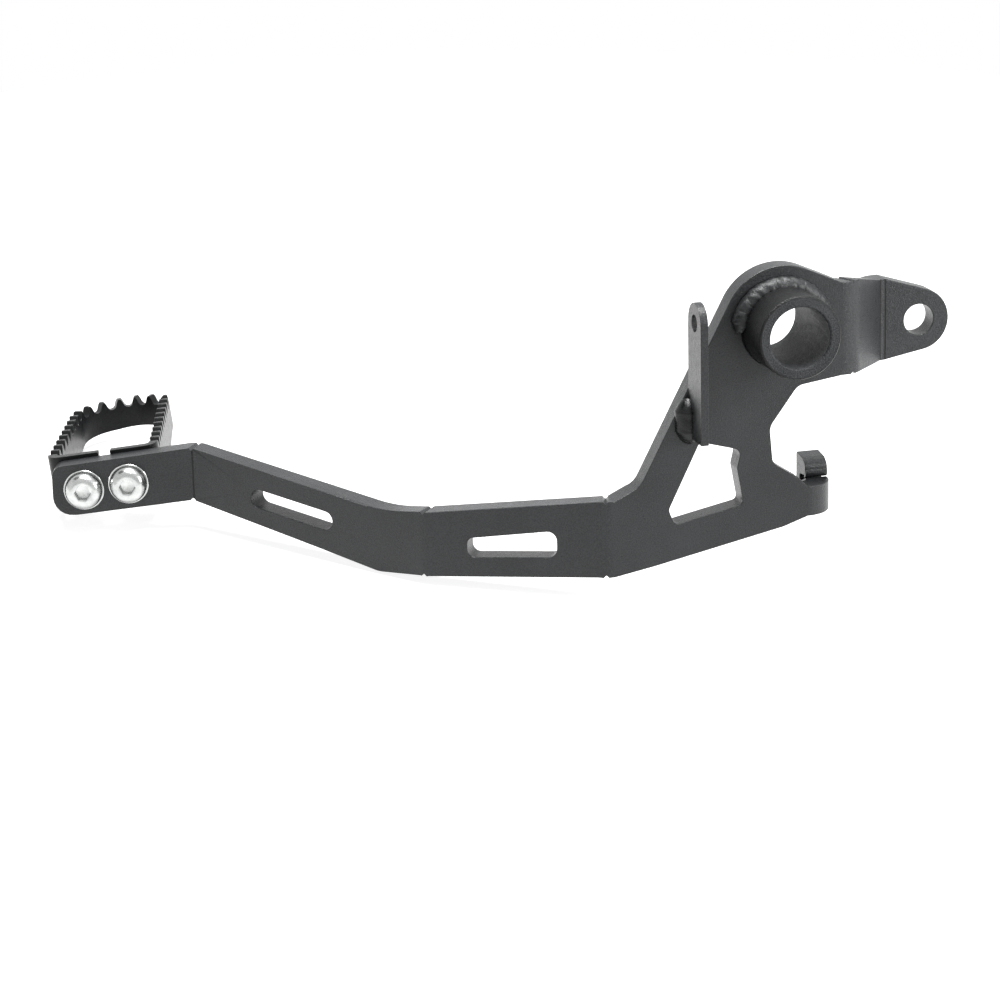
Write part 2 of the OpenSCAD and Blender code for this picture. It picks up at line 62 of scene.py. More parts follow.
def addNode(tree, kind, inputs=None, **settings):
    made = tree.nodes.new(kind)
    for key, value in settings.items():
        setattr(made, key, value)
    for key, value in (inputs or {}).items():
        if isinstance(value, bpy.types.NodeSocket):
            tree.links.new(value, made.inputs[key])
        else:
            made.inputs[key].default_value = value
    return made


def mathNode(tree, operation, first, second=0.0):
    return addNode(tree, "ShaderNodeMath", {0: first, 1: second}, operation=operation).outputs[0]


def plus(tree, first, second):
    return mathNode(tree, "ADD", first, second)


def minus(tree, first, second):
    return mathNode(tree, "SUBTRACT", first, second)


def times(tree, first, second):
    return mathNode(tree, "MULTIPLY", first, second)


def vectorNode(tree, operation, inputs, output):
    return addNode(tree, "ShaderNodeVectorMath", inputs, operation=operation).outputs[output]


def rangeNode(tree, value, low, high, toLow=0.0, toHigh=1.0):
    inputs = {"Value": value, "From Min": low, "From Max": high, "To Min": toLow, "To Max": toHigh}
    return addNode(tree, "ShaderNodeMapRange", inputs).outputs["Result"]


def meshObject(name, mesh):
    made = bpy.data.objects.new(name, mesh)
    bpy.context.scene.collection.objects.link(made)
    return made


mergeWithin = 0.0000001  # metres


def solidFrom(name, build, place=None):
    shape = bmesh.new()
    build(shape)
    bmesh.ops.remove_doubles(shape, verts=shape.verts, dist=mergeWithin)
    bmesh.ops.recalc_face_normals(shape, faces=shape.faces)
    mesh = bpy.data.meshes.new(name)
    shape.to_mesh(mesh)
    shape.free()
    if place is not None:
        mesh.transform(place)
    return meshObject(name, mesh)


def smoothByAngle(piece, degrees=30):
    for face in piece.data.polygons:
        face.use_smooth = True
    shape = bmesh.new()
    shape.from_mesh(piece.data)
    for edge in shape.edges:
        if len(edge.link_faces) == 2 and edge.calc_face_angle(0) > math.radians(degrees):
            edge.smooth = False
    shape.to_mesh(piece.data)
    shape.free()


def middle(box):
    return (box[0] + box[1]) / 2


# set up for a square picture; lens and sensor in mm, the rest in metres and degrees
cameraSettings = {
    "lens": 126.0,
    "sensor": 36.0,
    "stand": (-0.2823, -0.8108, 0.2040),
    "yaw": 14.4,
    "down": 16.15,
    "roll": -1.29,
    "near": 0.05,
    "far": 20,
}


def cameraAxes(view):
    yaw, down, roll = (math.radians(view[key]) for key in ("yaw", "down", "roll"))
    level = Vector((math.sin(yaw), math.cos(yaw), 0)) * math.cos(down)
    ahead = level - Vector((0, 0, math.sin(down)))
    right = Vector((math.cos(yaw), -math.sin(yaw), 0))
    above = right.cross(ahead)
    tiltedRight = math.cos(roll) * right + math.sin(roll) * above
    tiltedAbove = math.cos(roll) * above - math.sin(roll) * right
    return tiltedRight, tiltedAbove, ahead


def makeCamera(view):
    right, above, ahead = cameraAxes(view)
    data = bpy.data.cameras.new("camera")
    data.lens = view["lens"]
    data.sensor_width = view["sensor"]
    data.clip_start = view["near"]
    data.clip_end = view["far"]
    camera = bpy.data.objects.new("camera", data)
    turn = Matrix((right, above, -ahead)).transposed().to_4x4()
    camera.matrix_world = Matrix.Translation(view["stand"]) @ turn
    bpy.context.scene.collection.objects.link(camera)
    bpy.context.scene.camera = camera


makeCamera(cameraSettings)
print("stage: camera")


# heights of the patterns in metres, scales per metre
coatLook = {
    "dark": (0.0062, 0.0070, 0.0078, 1),
    "light": (0.0205, 0.0226, 0.0242, 1),
    "toneStart": 0.41,
    "toneEnd": 0.59,
    "cloudShare": 0.3,  # of the tone; the grain gives the rest
    "peelShare": 0.5,  # of the roughness
    "roughLow": 0.25,
    "roughHigh": 0.40,
    "cloudScale": 60.0,
    "peelScale": 700.0,
    "grainScale": 3000.0,
    "peelHeight": 0.00003,
    "grainHeight": 0.00012,
    "specular": 0.40,
}

# the press leaves a crease in the toe fold and two in the fold before the lug, at x and y in mm; the
# crease's dark line is painted shade in the colour, beside a bump and added roughness
leverLook = dict(
    coatLook,
    creases=((-138.75, 74.55), (30.42, 11.04), (31.8, 11.47)),
    creaseWidth=0.26,
    creaseCore=0.4,  # share of the width that is fully darkened by the painted shade
    creaseShade=0.15,
    creaseRougher=0.3,
    creaseDepth=0.0002,
)

weldLook = dict(
    coatLook,
    dark=(0.003, 0.0034, 0.0038, 1),
    light=(0.012, 0.0135, 0.0145, 1),
    roughLow=0.38,
    roughHigh=0.55,
    grainHeight=0.0001,
)

# the tube is rough inside and on its end, and smoother on its outer side, where its colour is darkened
# as painted shade
tubeLook = dict(
    coatLook,
    dark=(0.0100, 0.0110, 0.0120, 1),
    light=(0.0500, 0.0535, 0.0560, 1),
    roughLow=0.4,
    roughHigh=0.58,
    grainHeight=0.0002,
    specular=0.2,
    sideRadius=10.3,
    sideBlend=0.3,
    sideShade=0.15,
    sideSmoother=0.14,
)

# the tab's weld sits in the corner at the tab's foot; its much darker colour is painted shade of that
# corner
tabWeldLook = dict(
    coatLook,
    dark=(0.0012, 0.0014, 0.0016, 1),
    light=(0.0050, 0.0056, 0.0062, 1),
    roughLow=0.22,
    roughHigh=0.32,
    grainHeight=0.00004,
    specular=0.26,
)

# the cleat's coat is darker than the lever's, as the loose cleat's is too; part of this darkening is
# painted shade for its inner walls, which lie in the shade of the loop
cleatLook = dict(
    coatLook,
    dark=(0.0015, 0.0017, 0.0019, 1),
    light=(0.0055, 0.0061, 0.0066, 1),
    grainHeight=0.00005,
    specular=0.22,
)

zincLook = {
    "dark": (0.40, 0.41, 0.405, 1),
    "light": (0.56, 0.57, 0.56, 1),
    "roughLow": 0.17,
    "roughHigh": 0.30,
    "cloudScale": 420.0,
    "grainScale": 5200.0,
    "grainHeight": 0.000004,
}

noiseRange = (0.3, 0.7)  # noise rarely leaves it
noiseRoughness = 0.55


def newMaterial(name):
    material = bpy.data.materials.new(name)
    material.use_nodes = True
    return material, material.node_tree.nodes["Principled BSDF"]


def objectPlace(tree):
    return addNode(tree, "ShaderNodeTexCoord").outputs["Object"]


def noiseOf(tree, place, scale, detail=2):
    inputs = {"Vector": place, "Scale": scale, "Detail": detail, "Roughness": noiseRoughness}
    return addNode(tree, "ShaderNodeTexNoise", inputs).outputs["Fac"]


def bumpNode(tree, height, distance, below=None):
    inputs = {"Height": height, "Distance": distance, "Strength": 1.0}
    if below is not None:
        inputs["Normal"] = below
    return addNode(tree, "ShaderNodeBump", inputs).outputs["Normal"]


def colourBetween(tree, factor, low, high, start, end):
    ramp = addNode(tree, "ShaderNodeValToRGB", {"Fac": factor})
    ramp.color_ramp.elements[0].position = start
    ramp.color_ramp.elements[0].color = low
    ramp.color_ramp.elements[1].position = end
    ramp.color_ramp.elements[1].color = high
    return ramp.outputs["Color"]


def darker(tree, colour, keep):
    return vectorNode(tree, "SCALE", {0: colour, "Scale": keep}, "Vector")


def onTubeSide(tree, place, look):
    # 0 on the end and in the bore, 1 on the outer side
    parts = addNode(tree, "ShaderNodeSeparateXYZ", {"Vector": place}).outputs
    flat = addNode(tree, "ShaderNodeCombineXYZ", {"X": parts["X"], "Z": parts["Z"]}).outputs[0]
    radius = vectorNode(tree, "LENGTH", {0: flat}, "Value")
    low = (look["sideRadius"] - look["sideBlend"]) * millimetre
    return rangeNode(tree, radius, low, look["sideRadius"] * millimetre)


def besideCreases(tree, place, look):
    # 0 along the upright line of each crease, 1 beside it
    parts = addNode(tree, "ShaderNodeSeparateXYZ", {"Vector": place}).outputs
    flat = addNode(tree, "ShaderNodeCombineXYZ", {"X": parts["X"], "Y": parts["Y"]}).outputs[0]
    nearest = 1.0
    for x, y in look["creases"]:
        spot = (x * millimetre, y * millimetre, 0)
        away = vectorNode(tree, "DISTANCE", {0: flat, 1: spot}, "Value")
        nearest = mathNode(tree, "MINIMUM", away, nearest)
    width = look["creaseWidth"] * millimetre
    return rangeNode(tree, nearest, look["creaseCore"] * width, width)


def powderCoat(name, look):
    material, shader = newMaterial(name)
    tree = material.node_tree
    place = objectPlace(tree)
    cloud = noiseOf(tree, place, look["cloudScale"], detail=3)
    peel = noiseOf(tree, place, look["peelScale"])
    grain = noiseOf(tree, place, look["grainScale"])
    cloudShare, peelShare = look["cloudShare"], look["peelShare"]
    tone = plus(tree, times(tree, cloud, cloudShare), times(tree, grain, 1.0 - cloudShare))
    rough = plus(tree, times(tree, peel, peelShare), times(tree, grain, 1.0 - peelShare))
    colour = colourBetween(tree, tone, look["dark"], look["light"], look["toneStart"], look["toneEnd"])
    roughness = rangeNode(tree, rough, *noiseRange, look["roughLow"], look["roughHigh"])
    normal = bumpNode(tree, peel, look["peelHeight"])
    if "sideRadius" in look:
        # painted shade: the colour of the tube's outer side is darkened
        side = onTubeSide(tree, place, look)
        colour = darker(tree, colour, minus(tree, 1.0, times(tree, side, 1.0 - look["sideShade"])))
        roughness = minus(tree, roughness, times(tree, side, look["sideSmoother"]))
    if "creases" in look:
        # painted shade: the colour darkens along each crease line
        clear = besideCreases(tree, place, look)
        keep = plus(tree, times(tree, clear, 1.0 - look["creaseShade"]), look["creaseShade"])
        colour = darker(tree, colour, keep)
        inside = minus(tree, 1.0, clear)
        roughness = plus(tree, roughness, times(tree, inside, look["creaseRougher"]))
        normal = bumpNode(tree, clear, look["creaseDepth"], normal)
    normal = bumpNode(tree, grain, look["grainHeight"], normal)
    tree.links.new(colour, shader.inputs["Base Color"])
    tree.links.new(roughness, shader.inputs["Roughness"])
    tree.links.new(normal, shader.inputs["Normal"])
    shader.inputs["Specular IOR Level"].default_value = look["specular"]
    return material


def zincPlate(name, look):
    material, shader = newMaterial(name)
    tree = material.node_tree
    place = objectPlace(tree)
    cloud = noiseOf(tree, place, look["cloudScale"], detail=3)
    grain = noiseOf(tree, place, look["grainScale"])
    colour = colourBetween(tree, cloud, look["dark"], look["light"], *noiseRange)
    roughness = rangeNode(tree, grain, *noiseRange, look["roughLow"], look["roughHigh"])
    tree.links.new(colour, shader.inputs["Base Color"])
    tree.links.new(roughness, shader.inputs["Roughness"])
    tree.links.new(bumpNode(tree, grain, look["grainHeight"]), shader.inputs["Normal"])
    shader.inputs["Metallic"].default_value = 1.0
    return material


coat = powderCoat("blackPowderCoat", coatLook)
leverCoat = powderCoat("blackPowderCoatOnLever", leverLook)
weldCoat = powderCoat("blackPowderCoatOnWelds", weldLook)
tubeCoat = powderCoat("blackPowderCoatOnTube", tubeLook)
tabWeldCoat = powderCoat("blackPowderCoatOnTabWeldPaintedShade", tabWeldLook)
cleatCoat = powderCoat("blackPowderCoatOnCleat", cleatLook)
zinc = zincPlate("brightZinc", zincLook)
print("stage: materials")


def newTree(name, values=(), withFinish=False):
    tree = bpy.data.node_groups.new(name, "GeometryNodeTree")
    tree.interface.new_socket("Geometry", in_out="INPUT", socket_type="NodeSocketGeometry")
    for value in values:
        tree.interface.new_socket(value, in_out="INPUT", socket_type="NodeSocketFloat")
    if withFinish:
        tree.interface.new_socket("Finish", in_out="INPUT", socket_type="NodeSocketMaterial")
    tree.interface.new_socket("Geometry", in_out="OUTPUT", socket_type="NodeSocketGeometry")
    return tree, addNode(tree, "NodeGroupInput").outputs


def inputKeys(tree):
    return {s.name: s.identifier for s in tree.interface.items_tree if s.in_out == "INPUT"}


def endTree(tree, geometry):
    addNode(tree, "NodeGroupOutput", {0: geometry})
    return tree


def endWithFinish(tree, geometry, finish):
    real = addNode(tree, "GeometryNodeRealizeInstances", {"Geometry": geometry}).outputs[0]
    inputs = {"Geometry": real, "Material": finish}
    return endTree(tree, addNode(tree, "GeometryNodeSetMaterial", inputs).outputs[0])


def storeValue(tree, geometry, name, value, domain):
    inputs = {"Geometry": geometry, "Name": name, "Value": value}
    kind = "GeometryNodeStoreNamedAttribute"
    return addNode(tree, kind, inputs, data_type="FLOAT", domain=domain).outputs[0]


def onDomain(tree, value, domain):
    kind = "GeometryNodeFieldOnDomain"
    return addNode(tree, kind, {"Value": value}, data_type="FLOAT", domain=domain).outputs[0]


def shadeSmooth(tree, inputs, domain):
    return addNode(tree, "GeometryNodeSetShadeSmooth", inputs, domain=domain).outputs[0]


def edgesOver(tree, degrees):
    angle = addNode(tree, "GeometryNodeInputMeshEdgeAngle").outputs["Unsigned Angle"]
    return mathNode(tree, "GREATER_THAN", angle, math.radians(degrees))


# pieces that come from the CAD: edge, shortest and seat in mm; an edge beyond the seat level
# along y lies on the plate
noSeat = 1000
edgeSettings = {
    "lever_plate": {"coat": leverCoat, "edge": 0.3, "segments": 3, "shortest": 0.6, "seat": noSeat},
    "pivot_tube": {"coat": tubeCoat, "edge": 0.15, "segments": 2, "shortest": 0, "seat": noSeat},
    "switch_tab": {"coat": coat, "edge": 0.12, "segments": 2, "shortest": 0, "seat": -0.02},
    "toe_cleat": {"coat": cleatCoat, "edge": 0.14, "segments": 2, "shortest": 0, "seat": noSeat},
}

finishSettings = {
    "joinWithin": 0.000004,  # metres; the rest are degrees and counts
    "flatWithin": 0.6,
    "roundedOver": 30,
    "smoothUnder": 28,
    "countMargin": 0.5,
    "noneUnder": 0.1,
}


def joinTree(s):
    tree, start = newTree("joinFaces")
    inputs = {"Geometry": start["Geometry"], "Name": "custom_normal"}
    plain = addNode(tree, "GeometryNodeRemoveAttribute", inputs).outputs[0]
    inputs = {"Geometry": plain, "Distance": s["joinWithin"]}
    return endTree(tree, addNode(tree, "GeometryNodeMergeByDistance", inputs).outputs[0])


def chosenTree(s):
    tree, start = newTree("chosenEdges", ("Shortest edge", "Seat level"))
    sharp = edgesOver(tree, s["roundedOver"])
    ends = addNode(tree, "GeometryNodeInputMeshEdgeVertices").outputs
    one, two = ends["Position 1"], ends["Position 2"]
    length = vectorNode(tree, "DISTANCE", {0: one, 1: two}, "Value")
    small = times(tree, sharp, mathNode(tree, "LESS_THAN", length, start["Shortest edge"]))
    # a corner of three sharp edges, one of them short, as in the notch at a fold's end, stays crisp
    around = addNode(tree, "GeometryNodeInputMeshVertexNeighbors").outputs["Vertex Count"]
    sharpCount = times(tree, onDomain(tree, sharp, "EDGE"), around)
    smallCount = times(tree, onDomain(tree, small, "EDGE"), around)
    threeSharp = mathNode(tree, "GREATER_THAN", sharpCount, 3 - s["countMargin"])
    oneSmall = mathNode(tree, "GREATER_THAN", smallCount, 1 - s["countMargin"])
    tight = onDomain(tree, times(tree, threeSharp, oneSmall), "POINT")
    clear = mathNode(tree, "LESS_THAN", onDomain(tree, tight, "EDGE"), s["noneUnder"])
    # and so does an edge that lies on the plate's face
    depths = [addNode(tree, "ShaderNodeSeparateXYZ", {0: end}).outputs["Y"] for end in (one, two)]
    raised = mathNode(tree, "LESS_THAN", mathNode(tree, "MINIMUM", *depths), start["Seat level"])
    weight = times(tree, times(tree, sharp, clear), raised)
    return endTree(tree, storeValue(tree, start["Geometry"], "bevel_weight_edge", weight, "EDGE"))


def smoothTree(s):
    tree, start = newTree("smoothCurves")
    sharp = edgesOver(tree, s["smoothUnder"])
    faces = shadeSmooth(tree, {"Geometry": start["Geometry"], "Shade Smooth": True}, "FACE")
    inputs = {"Geometry": faces, "Selection": sharp, "Shade Smooth": False}
    return endTree(tree, shadeSmooth(tree, inputs, "EDGE"))


joinFaces = joinTree(finishSettings)
chosenEdges = chosenTree(finishSettings)
smoothCurves = smoothTree(finishSettings)


def addTree(piece, name, tree, values=None):
    run = piece.modifiers.new(name, "NODES")
    run.node_group = tree
    keys = inputKeys(tree)
    for key, value in (values or {}).items():
        run[keys[key]] = value
    return run


def finishNode(name, settings):
    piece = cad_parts[name]
    piece.data.materials.clear()
    piece.data.materials.append(settings["coat"])
    addTree(piece, "joinFaces", joinFaces)
    flats = piece.modifiers.new("flats", "DECIMATE")
    flats.decimate_type = "DISSOLVE"
    flats.angle_limit = math.radians(finishSettings["flatWithin"])
    addTree(piece, "chosenEdges", chosenEdges, {
        "Shortest edge": settings["shortest"] * millimetre,
        "Seat level": settings["seat"] * millimetre,
    })
    edges = piece.modifiers.new("edges", "BEVEL")
    edges.width = settings["edge"] * millimetre
    edges.segments = settings["segments"]
    edges.limit_method = "WEIGHT"
    edges.use_clamp_overlap = False
    edges.harden_normals = False
    addTree(piece, "smoothCurves", smoothCurves)
    flat = piece.modifiers.new("flatFaces", "WEIGHTED_NORMAL")
    flat.keep_sharp = True


for name, settings in edgeSettings.items():
    finishNode(name, settings)
print("stage: coated steel")


# weld beads, swept along their path with a ripple for each pass of the torch; mm and degrees
tubeBeadSettings = {
    "radius": 10.45,
    "from": 6.0,
    "to": 184.0,
    "startOut": 0.6,
    "startUntil": 0.35,  # share of the sweep
    "startPower": 2,
    "endOut": 1.0,
    "endFrom": 0.45,
    "endPower": 1.5,
    "lift": 0.8,
    "plate": 6.0,
    "leg": 2.5,
    "pitch": 2.4,
    "ripple": 0.24,
    "uneven": 2.0,
    "steps": 260,
    "inboardSeed": 1.0,
    "outboardSeed": 5.0,
}

tabBeadSettings = {
    "length": 12.0,
    "leg": 3.6,
    "pitch": 3.4,
    "ripple": 0.07,
    "uneven": 0.5,
    "steps": 60,
    "seed": 9.0,
}

beadShape = {
    "sides": 28,
    "tip": 0.05,  # size of the bead at its very ends
    "swell": 0.5,
    "bow": 0.6,
    "crest": 0.7,
    "unevenScale": 420.0,
}


def beadTree(s):
    values = ("Leg", "Ripple pitch", "Ripple depth", "Unevenness", "Seed")
    tree, start = newTree("weldBead", values, withFinish=True)
    path = addNode(tree, "GeometryNodeMeshToCurve", {0: start["Geometry"]}).outputs[0]
    upright = addNode(tree, "GeometryNodeSetCurveNormal", {"Curve": path}, mode="Z_UP").outputs[0]
    along = addNode(tree, "GeometryNodeSplineParameter").outputs
    marked = storeValue(tree, upright, "along", along["Length"], "POINT")
    # the bead swells from both ends within a couple of millimetres
    reach = mathNode(tree, "MINIMUM", along["Factor"], minus(tree, 1.0, along["Factor"]))
    span = addNode(tree, "GeometryNodeSplineLength").outputs["Length"]
    fromEnd = mathNode(tree, "DIVIDE", times(tree, reach, span), start["Leg"])
    grown = mathNode(tree, "MINIMUM", plus(tree, fromEnd, s["tip"]), 1.0)
    size = times(tree, mathNode(tree, "POWER", grown, s["swell"]), start["Leg"])
    circle = {"Resolution": s["sides"], "Radius": 1.0}
    profile = addNode(tree, "GeometryNodeCurvePrimitiveCircle", circle).outputs[0]
    inputs = {"Curve": marked, "Profile Curve": profile, "Scale": size, "Fill Caps": True}
    swept = addNode(tree, "GeometryNodeCurveToMesh", inputs).outputs[0]
    # ripples bow back at the edges, as a cooling pool leaves them
    attribute = addNode(tree, "GeometryNodeInputNamedAttribute", {"Name": "along"}, data_type="FLOAT")
    normal = addNode(tree, "GeometryNodeInputNormal").outputs[0]
    slope = vectorNode(tree, "DOT_PRODUCT", {0: normal, 1: (0.0, 0.0, 1.0)}, "Value")
    bow = times(tree, times(tree, slope, start["Leg"]), s["bow"])
    bowed = plus(tree, attribute.outputs["Attribute"], bow)
    place = addNode(tree, "GeometryNodeInputPosition").outputs[0]
    inputs = {"Vector": place, "W": start["Seed"], "Scale": s["unevenScale"], "Detail": 1.0}
    uneven = addNode(tree, "ShaderNodeTexNoise", inputs, noise_dimensions="4D").outputs["Fac"]
    passes = mathNode(tree, "DIVIDE", bowed, start["Ripple pitch"])
    phase = plus(tree, passes, times(tree, uneven, start["Unevenness"]))
    wave = mathNode(tree, "ABSOLUTE", mathNode(tree, "SINE", times(tree, phase, math.pi)))
    crest = mathNode(tree, "POWER", wave, s["crest"])
    lift = times(tree, minus(tree, crest, 1.0), start["Ripple depth"])
    offset = vectorNode(tree, "SCALE", {0: normal, "Scale": lift}, "Vector")
    inputs = {"Geometry": swept, "Offset": offset}
    rippled = addNode(tree, "GeometryNodeSetPosition", inputs).outputs[0]
    smooth = shadeSmooth(tree, {"Geometry": rippled, "Shade Smooth": True}, "FACE")
    return endWithFinish(tree, smooth, start["Finish"])


weldBead = beadTree(beadShape)


def fromNodes(name, tree, points, values, place):
    path = bpy.data.meshes.new(name + "Path")
    path.from_pydata(points, [(i, i + 1) for i in range(len(points) - 1)], [])
    source = meshObject(name + "Path", path)
    run = addTree(source, "nodes", tree, values)
    shown = bpy.context.evaluated_depsgraph_get()
    mesh = bpy.data.meshes.new_from_object(source.evaluated_get(shown))
    mesh.name = name
    mesh.transform(place)
    if place.determinant() < 0:
        mesh.flip_normals()
    source.modifiers.remove(run)
    bpy.data.objects.remove(source)
    return meshObject(name, mesh)


def layBead(node, points, s, place, seed, finish):
    values = {
        "Leg": s["leg"] * millimetre,
        "Ripple pitch": s["pitch"] * millimetre,
        "Ripple depth": s["ripple"] * millimetre,
        "Unevenness": s["uneven"],
        "Seed": seed,
        "Finish": finish,
    }
    piece = fromNodes(node + "_bead", weldBead, points, values, place)
    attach(piece, "root")
    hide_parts(node)


def tubeBeads(s):
    points = []
    for k in range(s["steps"] + 1):
        along = k / s["steps"]
        angle = math.radians(s["from"] + (s["to"] - s["from"]) * along)
        # the bead stands further out at its two ends than over the top of the tube
        nearStart = max(0, 1 - along / s["startUntil"]) ** s["startPower"]
        nearEnd = max(0, (along - s["endFrom"]) / (1 - s["endFrom"])) ** s["endPower"]
        radius = s["radius"] + s["startOut"] * nearStart + s["endOut"] * nearEnd
        point = Vector((radius * math.cos(angle), radius * math.sin(angle), s["lift"]))
        points.append(point * millimetre)
    inboard = Matrix.Rotation(math.radians(90), 4, "X")
    mirror = Matrix.Scale(-1, 4, (0, 1, 0))
    outboard = Matrix.Translation((0, s["plate"] * millimetre, 0)) @ mirror @ inboard
    layBead("pivot_weld_inboard", points, s, inboard, s["inboardSeed"], weldCoat)
    layBead("pivot_weld_outboard", points, s, outboard, s["outboardSeed"], weldCoat)


def tabBead(s):
    lo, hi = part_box("tab_weld")
    count = s["steps"]
    points = [(s["length"] * millimetre * (k / count - 0.5), 0, 0) for k in range(count + 1)]
    # local x runs up the tab, local z stands off the plate
    turn = Matrix(((0, -1, 0), (0, 0, -1), (1, 0, 0))).to_4x4()
    place = Matrix.Translation((hi.x, hi.y, (lo.z + hi.z) / 2)) @ turn
    layBead("tab_weld", points, s, place, s["seed"], tabWeldCoat)


tubeBeads(tubeBeadSettings)
tabBead(tabBeadSettings)
print("stage: welds")


# screws and nuts of the cleat, in mm and degrees; z runs from the bar's face into the plate
barSettings = {
    "turn": 15.0,
    "pitch": 6.98,
    "plate": 6.0,
    "ear": 2.5,
    "nut": 5.0,
}

screwSettings = {
    "head": 10.8,
    "height": 3.6,
    "landShare": 0.5,  # flat top, of the head's radius
    "landEdge": 0.15,
    "domeSteps": 14,
    "flange": 0.5,
    "flangeEdge": 0.1,
    "flangeWidth": 0.36,
    "groove": 0.16,
    "grooveWidth": 0.06,
    "grooveEdge": 0.02,
    "socket": 3.7,
    "socketDepth": 2.0,
    "socketTurn": 40.0,
    "floorTip": (0.35, 0.16),  # radius and drop of the flat cone in the socket's floor
    "floorRim": (0.9, 0.04),  # share of the socket's radius and drop
    "floorRound": (0.05, 0.1),  # in from the wall, up from the floor
    "mouth": ((0, 0.15), (0.05, 0.03), (0.12, 0)),  # out from the wall, down from the land
    "shank": 6.0,
    "shankInHead": 0.2,
    "proud": 1.6,
    "endChamfer": 0.5,
    "thread": 1.0,
    "threadDepth": 0.5,
    "threadInNut": 2.0,
    "threadEnd": 0.75,  # left plain before the tip
    "around": 72,
}

threadShape = {"steps": 48, "sides": 4}  # steps for each turn

nutSettings = {
    "across": 10.0,
    "bore": 6.0,
    "turn": 30.0,
    "chamferSlope": 0.577,
    "chamferFrom": 0.985,  # share of the half width across the flats
    "face": 0.97,
    "leadWidth": 0.45,
    "leadDepth": 0.4,
    "around": 72,
}


def seatPlace(nut, bar):
    turn, pitch = math.radians(bar["turn"]), math.radians(bar["pitch"])
    out = Vector((math.sin(turn), math.cos(turn), 0))
    level = Vector((-math.cos(turn), math.sin(turn), 0))
    along = level * math.cos(pitch) - Vector((0, 0, math.sin(pitch)))
    across = out.cross(along)
    depth = (bar["plate"] + bar["ear"] + bar["nut"] / 2) * millimetre
    seat = middle(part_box(nut)) - out * depth
    axes = Matrix((along, across, out)).transposed().to_4x4()
    return Matrix.Translation(seat) @ axes


def hexReach(angle, flat):
    sector = math.radians(60)
    return flat / math.cos((angle + sector / 2) % sector - sector / 2)


def stackRings(shape, rings, around, caps=True):
    loops = []
    for reach, height in rings:
        loop = []
        for k in range(around):
            angle = 2 * math.pi * k / around
            r = reach(angle) if callable(reach) else reach
            z = height(angle) if callable(height) else height
            point = Vector((r * math.cos(angle), r * math.sin(angle), z))
            loop.append(shape.verts.new(point * millimetre))
        loops.append(loop)
    for one, two in zip(loops, loops[1:]):
        for k in range(around):
            n = (k + 1) % around
            shape.faces.new((one[k], one[n], two[n], two[k]))
    if caps:
        shape.faces.new(loops[0])
        shape.faces.new(loops[-1])


def headBuilder(s):
    turned = math.radians(s["socketTurn"])
    flat = s["socket"] / 2

    def hexagon(grow):
        return lambda angle: hexReach(angle - turned, flat + grow)

    def build(shape):
        rim, top, ledge = s["head"] / 2, -s["height"], -s["flange"]
        bottom = top + s["socketDepth"]
        land = s["landShare"] * rim
        foot = rim - s["flangeWidth"]
        dip = s["groove"] + ledge
        edge = s["flangeEdge"]
        (tip, tipDrop), (share, rimDrop), (inset, rise) = s["floorTip"], s["floorRim"], s["floorRound"]
        # from the middle of the socket's floor up its walls to the flat top
        rings = [(tip, bottom + tipDrop), (share * flat, bottom + rimDrop)]
        rings += [(hexagon(-inset), bottom), (hexagon(0), bottom - rise)]
        rings += [(hexagon(wider), top + down) for wider, down in s["mouth"]]
        rings.append((land - s["landEdge"], top))
        for k in range(s["domeSteps"] + 1):
            swing = 0.5 * math.pi * k / s["domeSteps"]
            reach = land + (foot - land) * math.sin(swing)
            rings.append((reach, ledge + (top - ledge) * math.cos(swing)))
        # groove at the foot of the dome, flange and underside
        side = foot + s["grooveWidth"]
        rings += [(foot, dip), (side, dip), (side + s["grooveEdge"], ledge)]
        rings += [(rim - edge, ledge), (rim, ledge + edge), (rim, -edge), (rim - edge, 0)]
        rings.append((s["shank"] / 2, 0))
        stackRings(shape, rings, s["around"])

    return build


def shankBuilder(s, bar):
    def build(shape):
        end = bar["plate"] + bar["ear"] + bar["nut"] + s["proud"]
        core = s["shank"] / 2 - s["threadDepth"]
        chamfer = s["endChamfer"]
        rings = [(core, -s["shankInHead"]), (core, end - chamfer), (core - chamfer, end)]
        stackRings(shape, rings, s["around"])

    return build


def nutBuilder(s, bar):
    flat = s["across"] / 2
    low = bar["plate"] + bar["ear"]
    high = low + bar["nut"]

    def outline(angle):
        return hexReach(angle - math.radians(s["turn"]), flat)

    def fall(angle):
        return s["chamferSlope"] * max(0, outline(angle) - flat * s["chamferFrom"])

    def crown(angle):
        return high - fall(angle)

    def foot(angle):
        return low + fall(angle)

    def build(shape):
        bore, face = s["bore"] / 2, flat * s["face"]
        rings = [(bore, low), (face, low), (outline, foot), (outline, crown), (face, high)]
        rings += [(bore + s["leadWidth"], high), (bore, high - s["leadDepth"]), (bore, low)]
        stackRings(shape, rings, s["around"], caps=False)

    return build


def threadTree(s):
    values = ("Core radius", "Crest radius", "Pitch", "Length")
    tree, start = newTree("screwThread", values, withFinish=True)
    helix = addNode(tree, "GeometryNodeCurveSpiral", {
        "Resolution": s["steps"],
        "Rotations": mathNode(tree, "DIVIDE", start["Length"], start["Pitch"]),
        "Start Radius": start["Core radius"],
        "End Radius": start["Core radius"],
        "Height": start["Length"],
    }).outputs[0]
    upright = addNode(tree, "GeometryNodeSetCurveNormal", {"Curve": helix}, mode="Z_UP").outputs[0]
    depth = minus(tree, start["Crest radius"], start["Core radius"])
    circle = {"Resolution": s["sides"], "Radius": depth}
    profile = addNode(tree, "GeometryNodeCurvePrimitiveCircle", circle).outputs[0]
    inputs = {"Curve": upright, "Profile Curve": profile, "Fill Caps": True}
    swept = addNode(tree, "GeometryNodeCurveToMesh", inputs).outputs[0]
    return endWithFinish(tree, swept, start["Finish"])


screwThread = threadTree(threadShape)


